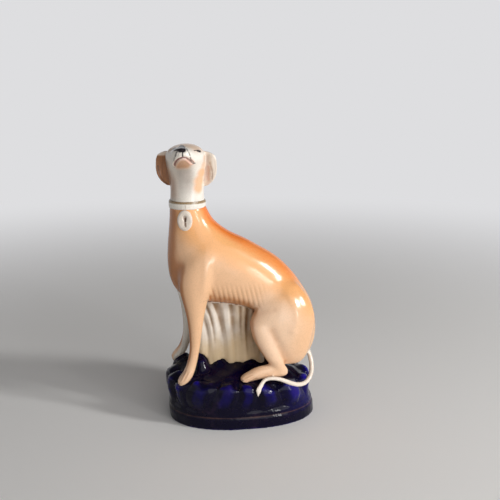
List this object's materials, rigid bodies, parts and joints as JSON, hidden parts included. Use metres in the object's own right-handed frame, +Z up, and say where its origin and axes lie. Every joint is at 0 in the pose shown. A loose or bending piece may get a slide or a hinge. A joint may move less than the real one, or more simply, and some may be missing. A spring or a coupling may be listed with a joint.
{
  "type": "dog figure",
  "caption": "Seated greyhound ornament in glazed earthenware, head turned and raised, with a collar and padlock, on an oval rocky base.",
  "frame": {"origin": "centre of the flat underside that the figure rests on", "axes": "+Z up, -X the way the dog's chest points, +X the rump, -Y the dog's left side, to which the head is turned"},
  "size_m": [0.1091, 0.0681, 0.191],
  "materials": {
    "tan_glaze": "fawn and orange painted earthenware under a clear lead glaze",
    "cream_glaze": "cream white earthenware under a clear glaze, painted fawn over the skull",
    "white_glaze": "white earthenware under a clear glaze",
    "support_glaze": "off-white earthenware, glaze pooled tan in the folds",
    "cobalt_glaze": "deep cobalt blue glaze",
    "bare_clay": "unglazed biscuit clay"
  },
  "bodies": {
    "root": {"base_mound": "cobalt_glaze", "base_floor": "bare_clay", "body_left": "tan_glaze", "body_right": "tan_glaze", "head": "cream_glaze", "ear_left": "tan_glaze", "ear_right": "tan_glaze", "foreleg_left": "tan_glaze", "foreleg_right": "tan_glaze", "hind_foot_left": "tan_glaze", "hind_foot_right": "tan_glaze", "tail": "white_glaze", "collar": "white_glaze", "collar_lock": "white_glaze", "belly_support": "support_glaze"}
  },
  "joints": []
}
